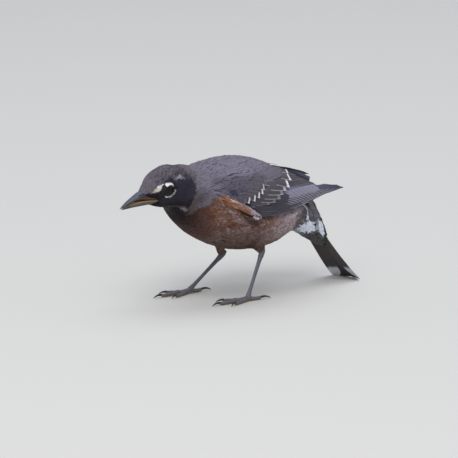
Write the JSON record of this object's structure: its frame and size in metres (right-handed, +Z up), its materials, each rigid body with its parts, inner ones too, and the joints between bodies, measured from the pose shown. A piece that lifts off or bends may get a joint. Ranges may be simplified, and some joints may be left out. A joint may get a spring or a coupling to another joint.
{
  "type": "american robin",
  "caption": "Life-size still model of an American robin bent forward on both feet, bill slightly open, folded wings and a drooped tail that rests on the ground.",
  "frame": {"origin": "on the ground, below the middle of the bird's bounding box", "axes": "+Z up; the bird faces -Y, its tail points to +Y and its left side is +X"},
  "size_m": [0.07, 0.1912, 0.0948],
  "materials": {
    "dark_plumage": "soft slate-grey and blackish feathers",
    "breast_plumage": "soft rufous feathers with pale fringes",
    "flight_feathers": "smooth dark brown vanes with pale edges",
    "bill_horn": "smooth slate-coloured horn",
    "bill_yellow": "smooth yellowish horn",
    "eye": "wet and glossy",
    "leg_scale": "satin horny scales",
    "claw": "smooth dark horn"
  },
  "bodies": {
    "root": {"head": "dark_plumage", "neck": "dark_plumage", "trunk": "breast_plumage", "eye_left": "eye", "eye_right": "eye", "bill_upper": "bill_horn", "bill_lower": "bill_yellow", "wing_left": "flight_feathers", "wing_right": "flight_feathers", "tail": "flight_feathers", "thigh_left": "dark_plumage", "thigh_right": "dark_plumage", "tarsus_left": "leg_scale", "tarsus_right": "leg_scale", "foot_left": "leg_scale", "foot_right": "leg_scale", "claw_inner_left": "claw", "claw_middle_left": "claw", "claw_outer_left": "claw", "claw_hind_left": "claw", "claw_inner_right": "claw", "claw_middle_right": "claw", "claw_outer_right": "claw", "claw_hind_right": "claw"}
  },
  "joints": []
}
